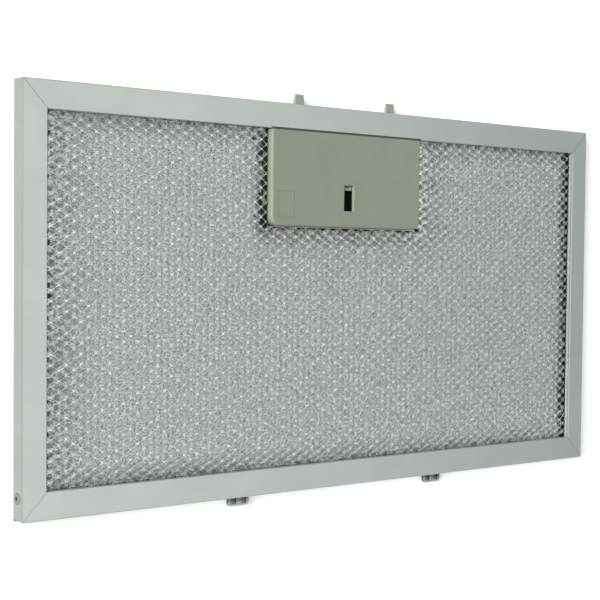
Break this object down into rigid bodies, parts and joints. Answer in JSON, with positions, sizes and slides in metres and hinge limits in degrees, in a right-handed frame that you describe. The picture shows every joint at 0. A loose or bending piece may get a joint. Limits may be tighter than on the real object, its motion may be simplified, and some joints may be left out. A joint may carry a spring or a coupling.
{
  "type": "cooker hood grease filter",
  "caption": "Flat grease filter for a cooker hood: folded aluminium frame round expanded mesh layers, with a sprung plastic latch on one edge and metal lugs on the other.",
  "frame": {"origin": "middle of the panel, on the plane that the rear flange lies on", "axes": "+X along the width, +Y towards the latch, +Z out of the front face"},
  "size_m": [0.4506, 0.2362, 0.009],
  "materials": {
    "frame_aluminium": "satin anodised strip",
    "rivet_aluminium": "bare formed aluminium",
    "mesh_aluminium": "bright expanded foil",
    "media_aluminium": "dull expanded foil",
    "latch_plastic": "fine moulded texture",
    "slide_plastic": "smooth moulded",
    "spring_steel": "drawn wire",
    "lug_aluminium": "punched strip, dulled"
  },
  "bodies": {
    "panel": {"frame_channel": "frame_aluminium", "corner_rivet": "rivet_aluminium", "front_mesh": "mesh_aluminium", "media_layer_front": "media_aluminium", "media_layer_middle": "media_aluminium", "media_layer_rear": "media_aluminium", "rear_mesh": "mesh_aluminium", "latch_housing": "latch_plastic", "latch_back_cover": "latch_plastic", "latch_spring": "spring_steel", "locating_lug_left": "lug_aluminium", "locating_lug_right": "lug_aluminium"},
    "latch": {"latch_slider": "slide_plastic"}
  },
  "joints": [
    {"name": "latch_slide", "type": "slide", "parent": "panel", "child": "latch", "axis": [0, -1, 0], "range_m": [0, 0.0065], "stiffness_N_per_m": 600, "springref_m": -0.006, "deforming": ["latch_spring"]}
  ]
}
